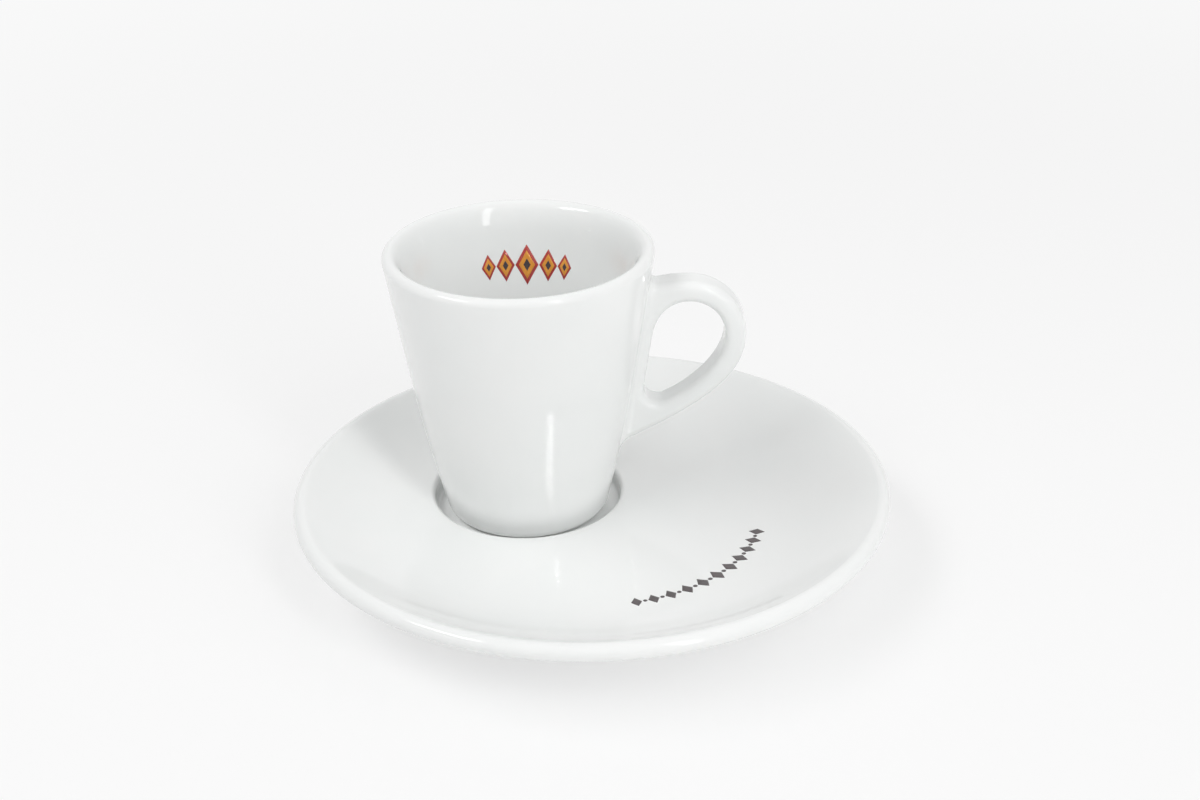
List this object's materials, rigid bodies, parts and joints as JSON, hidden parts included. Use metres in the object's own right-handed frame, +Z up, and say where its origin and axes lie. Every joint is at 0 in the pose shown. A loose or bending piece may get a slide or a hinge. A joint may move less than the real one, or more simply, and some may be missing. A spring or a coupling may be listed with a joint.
{
  "type": "espresso cup with saucer",
  "caption": "Tall tapering espresso cup with a closed ear handle, standing in the off-centre well of a wide shallow saucer, in white glazed porcelain with small printed borders.",
  "frame": {"origin": "centre of the saucer on the surface it stands on", "axes": "+Z up, +X the way the cup's handle points, +Y to the side of the cup's printed border"},
  "size_m": [0.136, 0.136, 0.0699],
  "materials": {
    "saucer_porcelain": "white porcelain under a clear gloss glaze, foot ring unglazed",
    "cup_porcelain": "white porcelain under a clear gloss glaze, foot ring unglazed",
    "print_red": "red transfer print fired into the glaze",
    "print_amber": "amber transfer print fired into the glaze",
    "print_dark": "dark brown transfer print fired into the glaze"
  },
  "bodies": {
    "saucer": {"saucer": "saucer_porcelain"},
    "cup": {"cup_body": "cup_porcelain", "cup_handle": "cup_porcelain"}
  },
  "joints": [
    {"name": "cup_lift", "type": "slide", "parent": "saucer", "child": "cup", "axis": [0, 0, 1], "range_m": [0, 0.08]}
  ]
}
